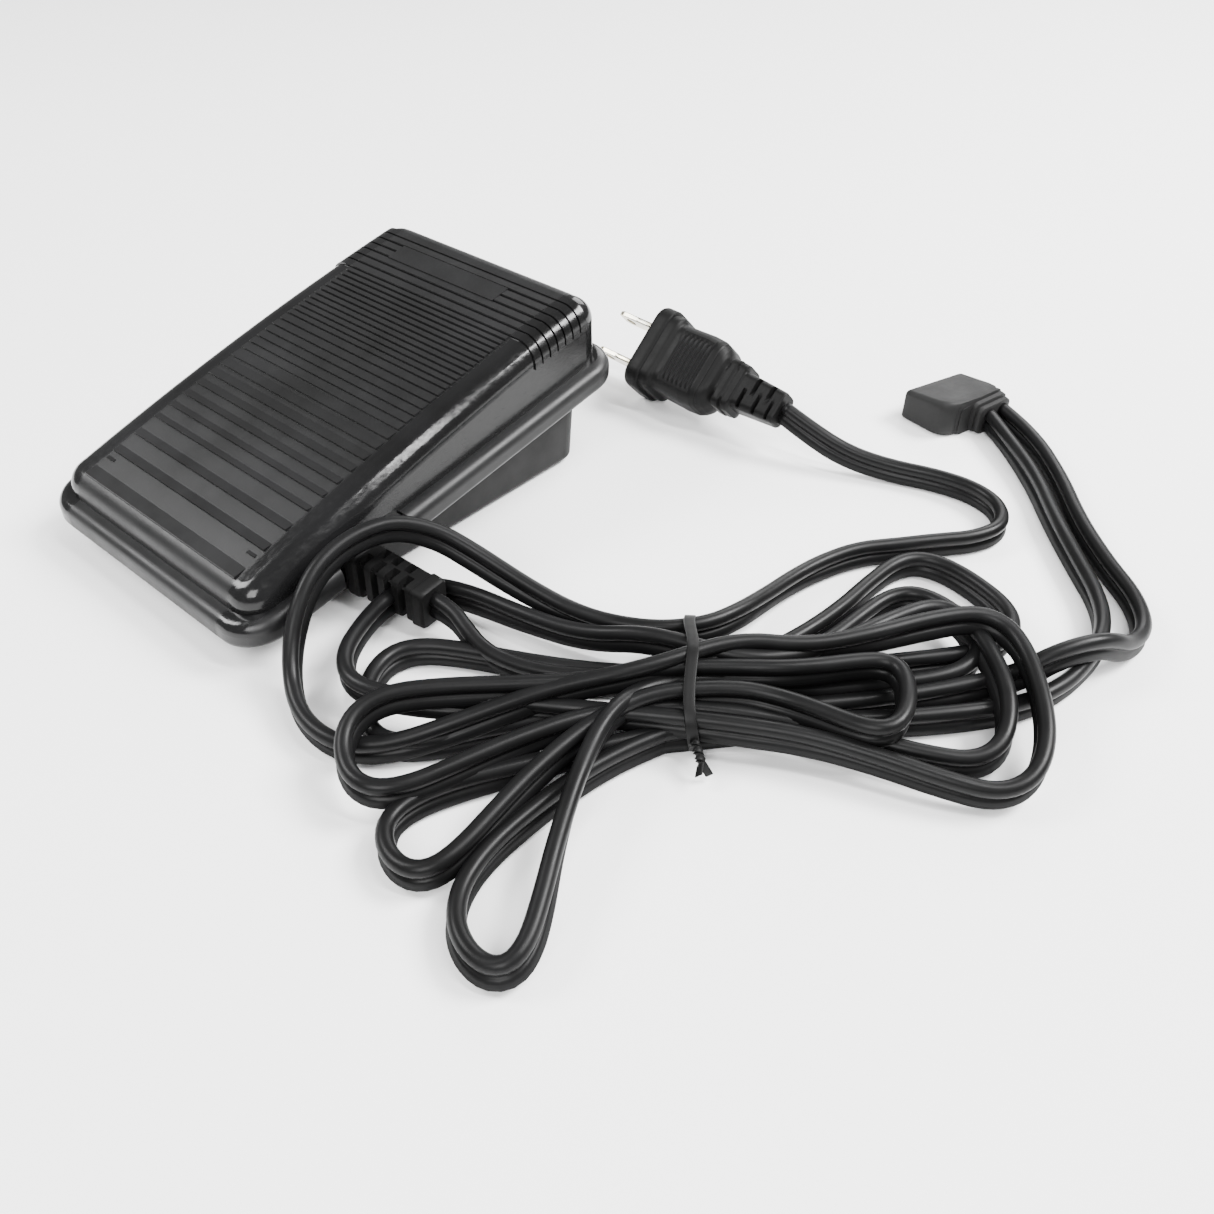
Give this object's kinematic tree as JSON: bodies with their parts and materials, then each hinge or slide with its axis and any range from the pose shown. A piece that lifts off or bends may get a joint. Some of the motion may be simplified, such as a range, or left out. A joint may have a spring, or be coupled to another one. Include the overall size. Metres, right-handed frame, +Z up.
{
  "type": "sewing machine pedal",
  "caption": "Sloping black treadle pedal with a ribbed hinged cover over a base tray, flat cords tied in a bundle, a wall plug and a machine connector.",
  "frame": {"origin": "on the floor under the middle of the pedal's outline", "axes": "+X to the side where the cord leaves, +Y from the low heel end to the high toe end, +Z up"},
  "size_m": [0.2349, 0.2505, 0.05],
  "materials": {
    "cover_plastic": "semi-matt moulded black with glossy rounded edges",
    "tray_plastic": "matt moulded black",
    "soft_rubber": "matt",
    "boot_rubber": "matt",
    "steel": "zinc plated",
    "spring_steel": "oiled",
    "brass": "worn",
    "lever_nylon": "satin",
    "clamp_nylon": "satin",
    "board_laminate": "phenolic laminate",
    "capacitor_case": "dipped epoxy",
    "choke_winding": "enamelled winding",
    "epoxy_case": "moulded epoxy",
    "resistor_body": "lacquered",
    "sink_aluminium": "extruded",
    "tinned_metal": "tinned",
    "lead_vinyl": "smooth",
    "cord_vinyl": "flexible vinyl, satin",
    "plug_vinyl": "moulded vinyl, satin",
    "connector_plastic": "matt",
    "tie_vinyl": "smooth"
  },
  "bodies": {
    "base": {"base_tray": "tray_plastic", "choke": "choke_winding", "clamp_screws": "steel", "connector_housing": "connector_plastic", "connector_sockets": "tinned_metal", "contact_strip": "brass", "control_board": "board_laminate", "cord_clamp": "clamp_nylon", "cord_hank": "cord_vinyl", "cord_loop": "cord_vinyl", "cord_tie": "tie_vinyl", "end_stop_bumpers": "soft_rubber", "film_capacitor": "capacitor_case", "heat_sink": "sink_aluminium", "heat_sink_screw": "steel", "hinge_clips": "spring_steel", "hinge_rod": "steel", "inner_cord_end": "cord_vinyl", "inner_lead_a": "lead_vinyl", "inner_lead_b": "lead_vinyl", "lever_pin": "steel", "machine_lead_a": "cord_vinyl", "machine_lead_b": "cord_vinyl", "pedal_cord_run": "cord_vinyl", "plug_blade_lower": "brass", "plug_blade_upper": "brass", "plug_body": "plug_vinyl", "power_cord_run": "cord_vinyl", "resistors": "resistor_body", "return_spring_left": "spring_steel", "return_spring_right": "spring_steel", "rubber_feet": "soft_rubber", "strain_relief_boot": "boot_rubber", "terminals": "tinned_metal", "triac": "epoxy_case"},
    "cover": {"pedal_cover": "cover_plastic"},
    "lever": {"wiper_lever": "lever_nylon", "wiper_leaf": "brass"}
  },
  "joints": [
    {"name": "treadle_hinge", "type": "hinge", "parent": "base", "child": "cover", "pos_m": [0, -0.046, 0.009], "axis": [-1, 0, 0], "range_deg": [0, 5.5], "stiffness_Nm_per_rad": 5.5, "springref_deg": -3.44, "deforming": ["return_spring_left", "return_spring_right"]},
    {"name": "wiper_pivot", "type": "hinge", "parent": "base", "child": "lever", "pos_m": [0, -0.014, 0.012], "axis": [-1, 0, 0], "range_deg": [0, 10.18], "stiffness_Nm_per_rad": 0.02, "springref_deg": -17.19}
  ],
  "couplings": [
    {"joint": "wiper_pivot", "follows": "treadle_hinge", "ratio": 1.85}
  ]
}
